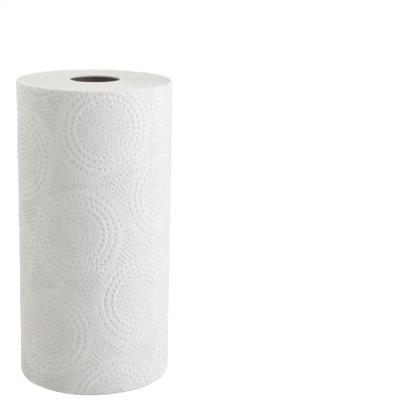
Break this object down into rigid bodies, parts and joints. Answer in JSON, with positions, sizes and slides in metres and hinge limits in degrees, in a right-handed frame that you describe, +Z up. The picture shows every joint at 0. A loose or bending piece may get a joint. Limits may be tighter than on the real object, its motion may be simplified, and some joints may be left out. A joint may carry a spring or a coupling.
{
  "type": "paper towel roll",
  "caption": "Upright kitchen paper towel roll: an embossed white paper web wound in a spiral on a through-bored cardboard tube, with soft rounded rims and a free edge.",
  "frame": {"origin": "middle of the bottom end, on the surface that the roll stands on, on the axis of the tube", "axes": "+Z up along the tube's axis, -Y towards the front of the picture's view, +X to the right"},
  "size_m": [0.1408, 0.1404, 0.2794],
  "materials": {
    "paper": "soft matt white two-ply tissue, embossed with rings of dots",
    "cardboard": "plain grey-brown spiral-wound board, matt"
  },
  "bodies": {
    "root": {"paper_roll": "paper", "core_tube": "cardboard"}
  },
  "joints": []
}
